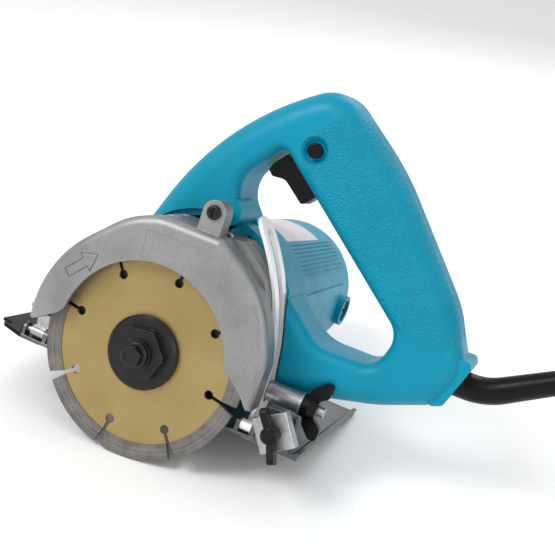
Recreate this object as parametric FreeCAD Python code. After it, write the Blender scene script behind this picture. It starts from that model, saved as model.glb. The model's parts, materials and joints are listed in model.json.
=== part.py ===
import FreeCAD, Part
import math
import os

# Hand-held trim saw with a 110 mm diamond blade, in millimetres.
# Every piece is drawn in the saw's own axes: the origin is the centre of the
# blade, X points back to the handle, Y points from the blade to the motor and
# Z is square to the sole. One placement at the end sets the saw down on the
# floor as it rests by itself: on the blade, the end of the motor housing and
# the rear corner of the base.

V = FreeCAD.Vector
AX = V(1, 0, 0)
AY = V(0, 1, 0)
AZ = V(0, 0, 1)

# blade and spindle
BLADE_R = 55.0
CORE_R = 46.7
CORE_T = 1.6
SEG_T = 2.4
SLOTS = 8
SLOT_PHASE = 35.0           # angle of the first slot from +X
KEYHOLE_R = 2.35
KEYHOLE_AT = 39.8
BORE_R = 10.0
FLANGE_R = 19.0

# gears and motor
MODULE = 1.25
GEAR_TEETH = 28
PINION_TEETH = 16
MOTOR_Z = 26.0
GEAR_DISTANCE = MODULE * (GEAR_TEETH + PINION_TEETH) / 2.0
MOTOR_X = math.sqrt(GEAR_DISTANCE ** 2 - MOTOR_Z ** 2)
GEAR_Y0 = 14.2
GEAR_Y1 = 21.6
BACKLASH = 0.22
COLLAR_R = 49.5             # round collar of the motor housing
BARREL_R0 = 43.5
BARREL_R1 = 41.2
BARREL_END = 186.0
COLLAR_Y0 = 26.0
COLLAR_Y1 = 59.0
HOUSING_FLOOR = -16.8       # the motor side stays above the base plate
BRUSH_Y = 154.0

# blade case
CASE_R = 65.4
CASE_X = 1.0                # the case is not quite round the blade centre
CASE_Y0 = -8.0
CASE_Y1 = 5.0

# handle
HANDLE_Y = 40.0
HANDLE_HALF = 17.5

# base and its two hinges
SOLE_Z = -21.4
PLATE_T = 2.0
BASE_X0 = -72.0
BASE_X1 = 90.0
BASE_Y0 = 4.0
BASE_Y1 = 114.0
TILT_Y = 7.5
TILT_Z = -16.0
DEPTH_X = -61.5
DEPTH_Z = 1.0
GUIDE_R = 121.8             # middle of the depth guide, about the depth hinge
GUIDE_Y0 = 12.0
GUIDE_Y1 = 29.0

# how the saw rests on the floor
REST_PITCH = 5.2232
REST_LEAN = -12.6936
REST_X = -31.37
REST_Y = -86.34
REST_LIFT = 53.9296

# mains cord, on the floor in the floor's axes
CORD_D = 7.4
CORD_ROUTE = [(169.9, -34.1, 85.4), (191.5, -31.4, 95.6), (225.0, -32.0, 91.5), (250.5, -35.0, 66.0),
              (263.5, -38.0, 33.0), (286.0, -40.0, 9.5), (317.0, -36.0, 3.8), (345.0, -19.0, 3.8),
              (357.5, 8.0, 3.8), (357.4, 37.0, 3.8)]
TAIL_ROUTE = [(343.2, 14.1, 18.8), (354.1, 30.8, 19.6), (354.0, 50.8, 22.0), (343.0, 67.5, 25.8),
              (324.6, 75.4, 29.2), (304.9, 71.9, 30.3)]
COIL_X = 308.0
COIL_Y = 37.0
COIL_R = 42.0               # middle of the turns
COIL_COLUMNS = 3
COIL_LAYERS = 3
PLUG_TURN = 190.0


def cyl_x(r, x0, x1, y, z):
    return Part.makeCylinder(r, x1 - x0, V(x0, y, z), AX)


def cyl_y(r, y0, y1, x=0.0, z=0.0):
    return Part.makeCylinder(r, y1 - y0, V(x, y0, z), AY)


def cone_y(r0, r1, y0, y1, x=0.0, z=0.0):
    return Part.makeCone(r0, r1, y1 - y0, V(x, y0, z), AY)


def cone_x(r0, r1, x0, x1, y, z):
    return Part.makeCone(r0, r1, x1 - x0, V(x0, y, z), AX)


def block(x0, x1, y0, y1, z0, z1):
    return Part.makeBox(x1 - x0, y1 - y0, z1 - z0, V(x0, y0, z0))


def fuse(shapes):
    out = shapes[0]
    if len(shapes) > 1:
        out = out.multiFuse(shapes[1:])
    return out.removeSplitter()


def group(shapes):
    return Part.makeCompound(shapes)


def rounded(corners):
    """Closed outline in the XZ plane; each corner is (x, z, radius)."""
    n = len(corners)
    ends = []
    for i in range(n):
        x, z, r = corners[i]
        p = V(x, 0, z)
        a = V(corners[i - 1][0], 0, corners[i - 1][1])
        b = V(corners[(i + 1) % n][0], 0, corners[(i + 1) % n][1])
        u = (a - p).normalize()
        w = (b - p).normalize()
        if r <= 0:
            ends.append((p, None, p))
            continue
        half = math.acos(max(-1.0, min(1.0, u.dot(w)))) / 2.0
        t = r / math.tan(half)
        mid = (u + w).normalize() * (r / math.sin(half) - r)
        ends.append((p + u * t, p + mid, p + w * t))
    edges = []
    for i in range(n):
        start, mid, stop = ends[i]
        if mid is not None:
            edges.append(Part.Arc(start, mid, stop).toShape())
        following = ends[(i + 1) % n][0]
        if (following - stop).Length > 1e-6:
            edges.append(Part.LineSegment(stop, following).toShape())
    return Part.Wire(edges)


def prism(corners, y0, y1):
    """Rounded XZ outline extruded along Y."""
    wire = rounded(corners)
    wire.translate(V(0, y0, 0))
    return Part.Face(wire).extrude(V(0, y1 - y0, 0))


def prism_x(corners, x0, x1):
    """Rounded outline in Y and Z, extruded along X; corners are (y, z, radius)."""
    solid = prism(corners, 0, x1 - x0)
    solid.rotate(V(0, 0, 0), AZ, -90)
    mirrored = solid.mirror(V(0, 0, 0), AY)
    mirrored.translate(V(x0, 0, 0))
    return mirrored


def sector(r0, r1, a0, a1, y0, y1, x=0.0, z=0.0):
    """Piece of a ring about an axis along Y; angles in degrees from +X to +Z."""
    def at(r, a):
        return V(x + r * math.cos(math.radians(a)), y0, z + r * math.sin(math.radians(a)))
    mid = (a0 + a1) / 2.0
    edges = [Part.Arc(at(r1, a0), at(r1, mid), at(r1, a1)).toShape()]
    edges.append(Part.LineSegment(at(r1, a1), at(r0, a1)).toShape())
    edges.append(Part.Arc(at(r0, a1), at(r0, mid), at(r0, a0)).toShape())
    edges.append(Part.LineSegment(at(r0, a0), at(r1, a0)).toShape())
    return Part.Face(Part.Wire(edges)).extrude(V(0, y1 - y0, 0))


def hex_y(across, y0, y1, x=0.0, z=0.0, turn=0.0, corner=0.0):
    r = across / math.sqrt(3.0)
    pts = []
    for i in range(6):
        a = math.radians(60.0 * i + turn)
        pts.append((x + r * math.cos(a), z + r * math.sin(a), corner))
    return prism(pts, y0, y1)


def pan_screw(x, z, y_seat, length, r_head, r_shank, toward=1.0):
    """Cross-head screw along Y; the head is outside the seat, the shank inside."""
    head_h = 0.55 * r_head
    if toward > 0:
        head = cyl_y(r_head, y_seat - head_h, y_seat, x, z)
        shank = cyl_y(r_shank, y_seat, y_seat + length, x, z)
        cross = y_seat - head_h
        edge_y = y_seat - head_h
    else:
        head = cyl_y(r_head, y_seat, y_seat + head_h, x, z)
        shank = cyl_y(r_shank, y_seat - length, y_seat, x, z)
        cross = y_seat + head_h - 1.2
        edge_y = y_seat + head_h
    rim = [e for e in head.Edges if abs(e.BoundBox.YMin - edge_y) < 1e-6 and abs(e.BoundBox.YMax - edge_y) < 1e-6]
    head = head.makeFillet(0.35 * r_head, rim)
    a = 0.62 * r_head
    b = 0.17 * r_head
    slot1 = block(x - a, x + a, cross, cross + 1.2, z - b, z + b)
    slot2 = block(x - b, x + b, cross, cross + 1.2, z - a, z + a)
    return fuse([head, shank]).cut(slot1).cut(slot2)


def bearing(y0, y1, r_in, r_out, x, z):
    """Ball bearing as one ring with the grooves of its two races and seals."""
    ring = cyl_y(r_out, y0, y1, x, z).cut(cyl_y(r_in, y0, y1, x, z))
    r0 = r_in + 0.30 * (r_out - r_in)
    r1 = r_in + 0.72 * (r_out - r_in)
    for a, b in ((y0, y0 + 0.6), (y1 - 0.6, y1)):
        ring = ring.cut(cyl_y(r1, a, b, x, z).cut(cyl_y(r0, a, b, x, z)))
    return ring


def involute_gear(teeth, y0, y1, x, z, phase, bore):
    """Spur gear; one tooth is centred on the angle phase, in degrees."""
    pitch = MODULE * teeth / 2.0
    base = pitch * math.cos(math.radians(20.0))
    tip = pitch + MODULE * 0.95
    root = pitch - MODULE * 1.22
    inv20 = math.tan(math.radians(20.0)) - math.radians(20.0)
    half = math.pi / (2.0 * teeth) - BACKLASH / (4.0 * pitch) + inv20
    start = max(base, root)
    flank = []
    for k in range(5):
        r = start + (tip - start) * k / 4.0
        roll = math.sqrt(max(0.0, (r / base) ** 2 - 1.0))
        flank.append((r, half - (roll - math.atan(roll))))

    def at(r, a):
        return V(x + r * math.cos(a), y0, z + r * math.sin(a))

    edges = []
    for i in range(teeth):
        mid = math.radians(phase) + 2.0 * math.pi * i / teeth
        left = [at(r, mid - a) for r, a in flank]
        right = [at(r, mid + a) for r, a in reversed(flank)]
        low = at(root, mid - flank[0][1])
        high = at(root, mid + flank[0][1])
        if (low - left[0]).Length > 1e-6:
            edges.append(Part.LineSegment(low, left[0]).toShape())
        curve = Part.BSplineCurve()
        curve.interpolate(left)
        edges.append(curve.toShape())
        edges.append(Part.Arc(left[-1], at(tip, mid), right[0]).toShape())
        curve = Part.BSplineCurve()
        curve.interpolate(right)
        edges.append(curve.toShape())
        if (right[-1] - high).Length > 1e-6:
            edges.append(Part.LineSegment(right[-1], high).toShape())
        gap = mid + math.pi / teeth
        following = mid + 2.0 * math.pi / teeth
        nxt = at(root, following - flank[0][1])
        edges.append(Part.Arc(high, at(root, gap), nxt).toShape())
    face = Part.Face(Part.Wire(edges))
    solid = face.extrude(V(0, y1 - y0, 0))
    if bore > 0:
        solid = solid.cut(cyl_y(bore, y0 - 1, y1 + 1, x, z))
    return solid


# ---------------------------------------------------------------- the blade

def slot_angles():
    return [SLOT_PHASE + 360.0 * i / SLOTS for i in range(SLOTS)]


def blade_core():
    disc = cyl_y(CORE_R, -CORE_T / 2, CORE_T / 2)
    disc = disc.cut(cyl_y(BORE_R + 0.02, -2, 2))
    cuts = []
    for a in slot_angles():
        ra = math.radians(a)
        hole = cyl_y(KEYHOLE_R, -2, 2, KEYHOLE_AT * math.cos(ra), KEYHOLE_AT * math.sin(ra))
        slit = block(KEYHOLE_AT, CORE_R + 2, -2, 2, -0.9, 0.9)
        slit.rotate(V(0, 0, 0), AY, -a)
        cuts.append(hole)
        cuts.append(slit)
    return disc.cut(group(cuts))


def diamond_segments():
    out = []
    for a in slot_angles():
        inner = math.degrees(0.95 / CORE_R)
        outer = math.degrees(2.3 / BLADE_R)

        def at(r, deg):
            return V(r * math.cos(math.radians(deg)), -SEG_T / 2, r * math.sin(math.radians(deg)))
        a1 = a + 360.0 / SLOTS
        mid = a + 180.0 / SLOTS
        edges = [Part.Arc(at(BLADE_R, a + outer), at(BLADE_R, mid), at(BLADE_R, a1 - outer)).toShape()]
        edges.append(Part.LineSegment(at(BLADE_R, a1 - outer), at(CORE_R, a1 - inner)).toShape())
        edges.append(Part.Arc(at(CORE_R, a1 - inner), at(CORE_R, mid), at(CORE_R, a + inner)).toShape())
        edges.append(Part.LineSegment(at(CORE_R, a + inner), at(BLADE_R, a + outer)).toShape())
        out.append(Part.Face(Part.Wire(edges)).extrude(V(0, SEG_T, 0)))
    return group(out)


def inner_flange():
    body = fuse([cyl_y(FLANGE_R, CORE_T / 2, 2.2), cone_y(FLANGE_R, FLANGE_R - 0.8, 2.2, 2.9),
                 cyl_y(10.4, 2.0, 4.4), cyl_y(BORE_R - 0.05, -CORE_T / 2 + 0.1, CORE_T / 2)])
    body = body.cut(cyl_y(6.0, -3, 8))
    return body.cut(cyl_y(13.5, CORE_T / 2, CORE_T / 2 + 0.6).cut(cyl_y(BORE_R, -2, 3)))


def outer_flange():
    body = fuse([cyl_y(FLANGE_R, -3.2, -CORE_T / 2), cone_y(FLANGE_R - 1.4, FLANGE_R, -4.4, -3.2),
                 hex_y(25.0, -8.0, -4.4, 0, 0, 10.0, 3.5)])
    body = body.cut(cyl_y(4.3, -10, 1))
    relief = cyl_y(13.5, -1.5, -CORE_T / 2)
    return body.cut(relief)


def bolt_washer():
    return cyl_y(7.6, -9.6, -8.0).cut(cyl_y(4.3, -12, -7))


def blade_bolt():
    head = hex_y(10.0, -16.5, -12.0, 0, 0, 22.0)
    cap = cone_y(4.6, 6.2, -16.5, -14.9)
    head = head.common(fuse([cap, cyl_y(6.2, -14.9, -11.9)]))
    dish = cyl_y(3.0, -16.6, -16.1)
    bevelled = cone_y(5.6, 6.6, -12.0, -11.2)
    collar = cyl_y(6.6, -11.2, -9.6)
    shank = cyl_y(4.0, -9.6, 18.0)
    return fuse([head.cut(dish), bevelled, collar, shank])


def spindle():
    body = fuse([cyl_y(6.0, 4.4, 22.0), cyl_y(4.0, 22.0, 30.4), cyl_y(7.6, 13.4, 14.2),
                 cyl_y(5.95, -0.6, 4.4)])
    return body.cut(cyl_y(4.0, -1.0, 18.0))


def spindle_gear():
    return involute_gear(GEAR_TEETH, GEAR_Y0, GEAR_Y1, 0, 0, mesh_phase_gear(), 6.0)


def mesh_angle():
    return math.degrees(math.atan2(MOTOR_Z, MOTOR_X))


def mesh_phase_gear():
    return mesh_angle()


def mesh_phase_pinion():
    return mesh_angle() + 180.0 + 180.0 / PINION_TEETH


def spindle_bearings():
    front = bearing(5.4, 13.4, 6.03, 14.0, 0, 0)
    rear = bearing(22.4, 29.4, 4.03, 11.0, 0, 0)
    return group([front, rear])


def bearing_retainer():
    plate = cyl_y(17.6, 4.5, 5.4).cut(cyl_y(9.0, 0, 10))
    for x, z in retainer_points():
        plate = plate.cut(cyl_y(0.9, 0, 10, x, z))
    return plate


# ------------------------------------------------------------ gear housing

def gear_housing():
    round_part = cyl_y(47.0, 5.4, COLLAR_Y0, MOTOR_X, MOTOR_Z)
    round_part = round_part.common(block(-80, 80, 0, 60, HOUSING_FLOOR, 68.5))
    gear_part = cyl_y(21.0, 5.4, 24.0)
    pad = guide_pad()
    step = cyl_y(44.5, 5.4, 14.0, MOTOR_X + 4.0, MOTOR_Z - 2.0).common(block(-80, 90, 0, 60, 0, 100))
    arm = depth_arm()
    lug = block(46.0, 60.0, 13.0, 22.3, -7.0, 9.0)
    body = fuse([round_part, gear_part, pad, step, arm, lug])
    # the guide slides on a face that is round about the depth hinge
    face = cyl_y(GUIDE_R - 1.35, 0, 60, DEPTH_X, DEPTH_Z)
    body = body.common(face)
    # grooves beside the rim of the case
    for y in (10.2, 16.6, 20.4):
        groove = cyl_y(70, y, y + 1.5, MOTOR_X, MOTOR_Z).cut(cyl_y(45.6, y, y + 1.5, MOTOR_X, MOTOR_Z))
        body = body.cut(groove.common(block(-80, 90, 0, 60, 30, 100)))
    cuts = [cyl_y(14.0, 5.0, 13.4)]
    cuts.append(cyl_y(19.3, 13.4, 22.4))
    cuts.append(cyl_y(12.0, 14.0, 22.4, MOTOR_X, MOTOR_Z))
    cuts.append(cyl_y(11.0, 22.4, 29.4))
    cuts.append(cyl_y(13.0, 23.0, 31.0, MOTOR_X, MOTOR_Z))
    cuts.append(cyl_y(7.0, 20.0, 31.0, MOTOR_X, MOTOR_Z))
    bosses = fuse([cyl_y(13.4, COLLAR_Y0 - 2, 29.4).common(block(-60, 60, 0, 60, HOUSING_FLOOR, 100)),
                   cyl_y(15.4, COLLAR_Y0 - 2, 31.0, MOTOR_X, MOTOR_Z)])
    body = fuse([body, bosses])
    # lightening pocket between the bearings and the round wall
    ring = cyl_y(42.5, 18.5, 24.0, MOTOR_X, MOTOR_Z).cut(cyl_y(17.5, 0, 60, MOTOR_X, MOTOR_Z))
    ring = ring.cut(cyl_y(23.5, 0, 60))
    ring = ring.common(block(-60, 50, 0, 60, 0, 100))
    body = body.cut(ring)
    for c in cuts:
        body = body.cut(c)
    for x, z in retainer_points():
        body = body.cut(cyl_y(0.9, 5.0, 10.0, x, z))
    for x, z in housing_screw_points():
        body = body.cut(cyl_y(2.1, 0, 40, x, z)).cut(cyl_y(4.0, 0, 13.0, x, z))
    for x, z in case_screw_points():
        body = body.cut(cyl_y(1.9, 0, 15, x, z))
    body = body.cut(cyl_x(2.5, 44.0, 70.0, clamp_y(), clamp_z()))
    pin = cyl_y(2.5, 0, 40, DEPTH_X, DEPTH_Z)
    return body.cut(pin)


def clamp_y():
    return (GUIDE_Y0 + GUIDE_Y1) / 2.0


def clamp_z():
    return 1.3


def guide_pad():
    """Rear wall that backs the depth guide, from the clamp up to the shoulder."""
    outer = cyl_y(GUIDE_R - 1.35, 13.0, 22.3, DEPTH_X, DEPTH_Z)
    inner = cyl_y(GUIDE_R - 12.0, 13.0, 22.3, DEPTH_X, DEPTH_Z)
    window = prism([(30, -7, 0), (75, -7, 0), (75, 40, 0), (44, 58, 0), (30, 50, 0)], 5, 60)
    return outer.cut(inner).common(window)


def depth_arm():
    """Thin arm that carries the depth hinge in front of the gears."""
    web = prism([(-24, 26, 2), (-60.5, 5.4, 2), (-61.5, -3.4, 2), (-46, -4, 8), (-18, -9, 2)], 5.4, 8.0)
    return fuse([web, cyl_y(4.6, 5.4, 8.0, DEPTH_X, DEPTH_Z)])


def retainer_points():
    out = []
    for a in (45, 135, 225, 315):
        out.append((15.8 * math.cos(math.radians(a)), 15.8 * math.sin(math.radians(a))))
    return out


def housing_screw_points():
    out = []
    for a in (76, 125, 172, 340):
        x = MOTOR_X + 41.5 * math.cos(math.radians(a))
        z = MOTOR_Z + 41.5 * math.sin(math.radians(a))
        out.append((x, z))
    return out


def case_screw_points():
    return [(-30.0, 20.0), (36.0, 10.0), (18.0, 40.0)]


def retainer_screws():
    return group([pan_screw(x, z, 4.5, 4.5, 1.7, 0.9) for x, z in retainer_points()])


def housing_screws():
    return group([pan_screw(x, z, 13.0, 30.0, 3.6, 2.0) for x, z in housing_screw_points()])


# -------------------------------------------------------------- blade case

def case_outline():
    """Solid region inside the rim of the blade case, before the walls are cut."""
    front = CASE_X - CASE_R
    outline = [(front, -12, 0), (front, 27.1, 62), (-27.7, 61.8, 44), (-10.8, 68.6, 38), (23.4, 68.6, 3.5),
               (37.4, 59.8, 45), (47.8, 51.0, 45), (56.0, 40.9, 45), (61.8, 26.0, 45), (64.6, 14.0, 0),
               (64.6, -12, 0)]
    return prism(outline, CASE_Y0, CASE_Y1)


def blade_case():
    body = case_outline()
    rim_edges = []
    for e in body.Edges:
        bb = e.BoundBox
        if abs(bb.YMin - CASE_Y0) < 1e-6 and abs(bb.YMax - CASE_Y0) < 1e-6:
            rim_edges.append(e)
    body = body.makeFillet(4.6, rim_edges)
    # open below a line that runs from the front tip to the rear tail
    lower = prism([(-90, -4.8, 0), (-60.5, -4.8, 2.5), (-47.6, 3.6, 10), (-43.8, 9.8, 0), (-36, 12, 0),
                   (48.5, 7.5, 0), (56, 2.0, 0), (61.0, -4.0, 0), (90, -4.0, 0), (90, -90, 0), (-90, -90, 0)],
                  CASE_Y0 - 1, -5.0)
    lower_back = block(-90, 90, -5.0, CASE_Y1 + 1, -90, -4.0)
    body = body.cut(lower).cut(lower_back).cut(block(CASE_TAIL_X, 90, CASE_Y0 - 1, CASE_Y1 + 1, -10, 30))
    body = body.cut(cyl_y(59.0, -5.4, 2.4))
    body = body.cut(cyl_y(46.0, CASE_Y0 - 1, -5.0))
    body = body.cut(cyl_y(20.6, 0, 10))
    # screw boss on the crown
    boss = fuse([cyl_y(6.0, -4.5, CASE_Y1, 14.5, 78.6), block(8.5, 20.5, -4.5, CASE_Y1, 68.0, 78.6)])
    boss = boss.cut(cyl_y(59.0, -5.4, 2.4))
    body = fuse([body, boss])
    body = body.cut(cyl_y(2.15, -10, 20, 14.5, 78.6))
    for x, z in case_screw_points():
        body = body.cut(cyl_y(2.1, 0, 10, x, z))
        body = body.cut(cyl_y(3.9, 1.0, 3.4, x, z))
    panel = prism([(-14.6, 60.0, 0), (16.4, 60.6, 0), (12.6, 50.0, 0), (8.0, 40.0, 0), (-12.0, 40.0, 0),
                   (-14.0, 47.0, 0)], CASE_Y0 - 1, CASE_Y0 + 0.35)
    return body.cut(turn_arrow(0.6)).cut(panel)


def turn_arrow(depth):
    """Outline of a rotation arrow, cut as a groove into the front of the rim."""
    arrow = prism([(0.8, 0, 0), (-8.5, 5.7, 0), (-8.5, 2.6, 0), (-20.1, 2.6, 0), (-20.1, -2.6, 0),
                   (-8.5, -2.6, 0), (-8.5, -5.7, 0)], CASE_Y0 - 1, CASE_Y0 + depth)
    inner = prism([(-0.5, 0, 0), (-7.9, 4.5, 0), (-7.9, 2.0, 0), (-19.5, 2.0, 0), (-19.5, -2.0, 0),
                   (-7.9, -2.0, 0), (-7.9, -4.5, 0)], CASE_Y0 - 2, CASE_Y0 + depth + 1)
    arrow = arrow.cut(inner)
    arrow.rotate(V(0, 0, 0), AY, -46.8)
    arrow.translate(V(-35.7, 0, 38.8))
    return arrow


def case_screws():
    out = []
    for x, z in case_screw_points():
        head = cyl_y(3.6, 1.7, 3.4, x, z)
        shank = cyl_y(1.85, 3.4, 12.0, x, z)
        socket = hex_y(3.0, 1.6, 2.7, x, z)
        out.append(fuse([head, shank]).cut(socket))
    return group(out)


def crown_screw():
    return pan_screw(14.5, 78.6, -4.5, 34.0, 3.6, 2.0)


# ----------------------------------------------------------- motor housing

def collar_cut(r, y0, y1):
    return cyl_y(r, y0, y1, MOTOR_X, MOTOR_Z).common(block(-90, 90, -10, 200, HOUSING_FLOOR, 100))


def guide_recess():
    """Space in which the depth guide travels past the collar and the handle."""
    return sector(GUIDE_R - 1.4, GUIDE_R + 2.2, -40, 40, COLLAR_Y0 - 6, GUIDE_Y1 + 0.4, DEPTH_X, DEPTH_Z)


def barrel_profile(inset, y0, end):
    """Solid of revolution about the motor axis: taper, then a rounded end."""
    r0 = BARREL_R0 - inset
    r1 = BARREL_R1 - inset
    rc = 13.0 - inset
    pts = [V(0, y0, 0), V(r0, y0, 0), V(r1, end - rc, 0), V(r1 - rc, end, 0), V(0, end, 0)]
    k = rc * (1 - math.sqrt(0.5))
    mid = V(r1 - k, end - k, 0)
    edges = [Part.LineSegment(pts[0], pts[1]).toShape()]
    edges.append(Part.LineSegment(pts[1], pts[2]).toShape())
    edges.append(Part.Arc(pts[2], mid, pts[3]).toShape())
    edges.append(Part.LineSegment(pts[3], pts[4]).toShape())
    edges.append(Part.LineSegment(pts[4], pts[0]).toShape())
    solid = Part.Face(Part.Wire(edges)).revolve(V(0, 0, 0), AY, 360)
    solid.translate(V(MOTOR_X, 0, MOTOR_Z))
    return solid


def barrel_rib(angle):
    """Fine rib along the upper rear of the barrel, following its taper."""
    y0 = COLLAR_Y1 + 3.0
    y1 = 164.0
    slope = (BARREL_R1 - BARREL_R0) / (BARREL_END - 13.0 - COLLAR_Y1 + 2.0)
    ends = []
    for y in (y0, y1):
        r = BARREL_R0 + slope * (y - COLLAR_Y1 + 2.0) + 0.1
        ends.append(V(MOTOR_X + r * math.cos(math.radians(angle)), y,
                      MOTOR_Z + r * math.sin(math.radians(angle))))
    run = ends[1] - ends[0]
    return Part.makeCylinder(0.75, run.Length, ends[0], run)


def barrel_fairing():
    """Raised flank below the ribs, over the rear brush holder."""
    skin = barrel_profile(-1.7, COLLAR_Y1 - 2, 171.0)
    corners = [(MOTOR_X, MOTOR_Z, 0)]
    for angle in (21.0, -6.0, -33.0):
        corners.append((MOTOR_X + 60.0 * math.cos(math.radians(angle)),
                        MOTOR_Z + 60.0 * math.sin(math.radians(angle)), 0))
    return skin.common(prism(corners, COLLAR_Y1 - 4, 180.0))


def motor_housing():
    collar = collar_cut(COLLAR_R, COLLAR_Y0, COLLAR_Y1)
    shoulder = Part.makeCone(COLLAR_R - 0.5, BARREL_R0, 4.0, V(MOTOR_X, COLLAR_Y1, MOTOR_Z), AY)
    shoulder = shoulder.common(block(-90, 90, 0, 200, HOUSING_FLOOR, 100))
    body = fuse([collar, shoulder, barrel_profile(0.0, COLLAR_Y1 - 2, BARREL_END),
                 cyl_y(6.6, 14.0, 40.0, 14.5, 78.6)])
    for side in (-1, 1):
        x0 = MOTOR_X + side * 34.0
        x1 = MOTOR_X + side * 46.5
        body = fuse([body, cyl_x(9.4, min(x0, x1), max(x0, x1), BRUSH_Y, MOTOR_Z)])
    body = fuse([body, barrel_fairing()] + [barrel_rib(61.0 - 3.4 * i) for i in range(9)])
    inner = fuse([cyl_y(COLLAR_R - 3.5, COLLAR_Y0 - 1, 54.0, MOTOR_X, MOTOR_Z).common(
        block(-90, 90, 0, 200, HOUSING_FLOOR + 2.6, 100)), barrel_profile(3.0, 50.0, BARREL_END - 3.0)])
    body = body.cut(inner)
    body = body.cut(cyl_y(47.2, 0, COLLAR_Y0, MOTOR_X, MOTOR_Z))
    # seat of the rear bearing
    seat = cyl_y(14.0, 172.0, BARREL_END - 1.5, MOTOR_X, MOTOR_Z)
    body = fuse([body, seat])
    body = body.cut(cyl_y(11.0, 171.0, 180.0, MOTOR_X, MOTOR_Z))
    # air slots: a ring in the end face, and rows in both sides near the brushes
    cuts = []
    for i in range(12):
        a = 15.0 + 30.0 * i
        slot = block(18.0, 31.0, BARREL_END - 6, BARREL_END + 2, -1.6, 1.6)
        slot.rotate(V(0, 0, 0), AY, -a)
        slot.translate(V(MOTOR_X, 0, MOTOR_Z))
        cuts.append(slot)
    for side in (-1, 1):
        x0 = MOTOR_X + side * 26.0
        x1 = MOTOR_X + side * 50.0
        cuts.append(cyl_x(7.0, min(x0, x1), max(x0, x1), BRUSH_Y, MOTOR_Z))
    for i in range(5):
        y = 32.0 + 4.6 * i
        cuts.append(block(-60.0, -30.0, y, y + 2.2, 6.0, 26.0))
    body = body.cut(group(cuts))
    for x, z in housing_screw_points():
        boss = cyl_y(5.3, COLLAR_Y0, 52.0, x, z).common(collar_cut(COLLAR_R - 1, COLLAR_Y0, 60))
        body = fuse([body, boss])
        body = body.cut(cyl_y(2.0, COLLAR_Y0 - 1, 46.0, x, z))
    body = body.cut(cyl_y(2.0, 10.0, 31.0, 14.5, 78.6))
    return body.cut(guide_recess())


def brush_caps():
    out = []
    for side in (-1, 1):
        x0 = MOTOR_X + side * 40.0
        x1 = MOTOR_X + side * 45.4
        cap = cyl_x(6.9, min(x0, x1), max(x0, x1), BRUSH_Y, MOTOR_Z)
        face = MOTOR_X + side * 44.2
        a = min(face, face + side * 3)
        b = max(face, face + side * 3)
        cap = cap.cut(block(a, b, BRUSH_Y - 4.6, BRUSH_Y + 4.6, MOTOR_Z - 0.8, MOTOR_Z + 0.8))
        out.append(cap)
    return group(out)


def brush_holders():
    out = []
    for side in (-1, 1):
        x0 = MOTOR_X + side * 16.5
        x1 = MOTOR_X + side * 39.6
        a = min(x0, x1)
        b = max(x0, x1)
        tube = block(a, b, BRUSH_Y - 5.6, BRUSH_Y + 5.6, MOTOR_Z - 4.4, MOTOR_Z + 4.4)
        out.append(tube.cut(block(a - 1, b + 1, BRUSH_Y - 4.6, BRUSH_Y + 4.6, MOTOR_Z - 3.4, MOTOR_Z + 3.4)))
    return group(out)


def carbon_brushes():
    out = []
    for side in (-1, 1):
        x0 = MOTOR_X + side * 14.2
        x1 = MOTOR_X + side * 28.0
        brush = block(min(x0, x1), max(x0, x1), BRUSH_Y - 4.5, BRUSH_Y + 4.5, MOTOR_Z - 3.3, MOTOR_Z + 3.3)
        out.append(brush)
    return group(out)


def brush_springs():
    out = []
    for side in (-1, 1):
        x0 = MOTOR_X + side * 28.1
        x1 = MOTOR_X + side * 39.4
        a = min(x0, x1)
        b = max(x0, x1)
        coil = []
        for i in range(6):
            x = a + (b - a) * (i + 0.5) / 6.0
            ring = cyl_x(2.9, x - 0.45, x + 0.45, BRUSH_Y, MOTOR_Z).cut(cyl_x(2.0, x - 1, x + 1, BRUSH_Y, MOTOR_Z))
            coil.append(ring)
        rail = block(a, b, BRUSH_Y - 0.4, BRUSH_Y + 0.4, MOTOR_Z + 2.1, MOTOR_Z + 2.8)
        out.append(fuse(coil + [rail]))
    return group(out)


def baffle_plate():
    ring = cyl_y(45.6, 48.0, 50.0, MOTOR_X, MOTOR_Z).common(
        block(-90, 90, 0, 200, HOUSING_FLOOR + 2.8, 100))
    ring = ring.cut(cyl_y(26.0, 40, 60, MOTOR_X, MOTOR_Z))
    for x, z in housing_screw_points():
        ring = ring.cut(cyl_y(5.7, 40, 60, x, z))
    return ring


def field_stator():
    ring = cyl_y(39.0, 68.0, 120.0, MOTOR_X, MOTOR_Z).cut(cyl_y(23.2, 60, 130, MOTOR_X, MOTOR_Z))
    for side in (-1, 1):
        z0 = MOTOR_Z + side * 10.0
        z1 = MOTOR_Z + side * 27.0
        ring = ring.cut(block(MOTOR_X - 25, MOTOR_X - 13, 60, 130, min(z0, z1), max(z0, z1)))
        ring = ring.cut(block(MOTOR_X + 13, MOTOR_X + 25, 60, 130, min(z0, z1), max(z0, z1)))
    return ring


def field_coils():
    out = []
    for side in (-1, 1):
        z0 = MOTOR_Z + side * 12.0
        z1 = MOTOR_Z + side * 26.5
        za = min(z0, z1)
        zb = max(z0, z1)
        frame = block(MOTOR_X - 24.5, MOTOR_X + 24.5, 60.0, 128.0, za, zb)
        hole = block(MOTOR_X - 13.5, MOTOR_X + 13.5, 67.6, 120.4, za - 1, zb + 1)
        coil = frame.cut(hole).cut(cyl_y(24.0, 50, 140, MOTOR_X, MOTOR_Z))
        out.append(coil)
    return group(out)


# ---------------------------------------------------------------- armature

def armature_shaft():
    body = fuse([cyl_y(5.0, GEAR_Y1, 31.2, MOTOR_X, MOTOR_Z), cyl_y(6.2, 31.2, 164.0, MOTOR_X, MOTOR_Z),
                 cyl_y(4.0, 164.0, 179.0, MOTOR_X, MOTOR_Z)])
    teeth = involute_gear(PINION_TEETH, GEAR_Y0, GEAR_Y1, MOTOR_X, MOTOR_Z, mesh_phase_pinion(), 0)
    return fuse([body, teeth])


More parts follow.
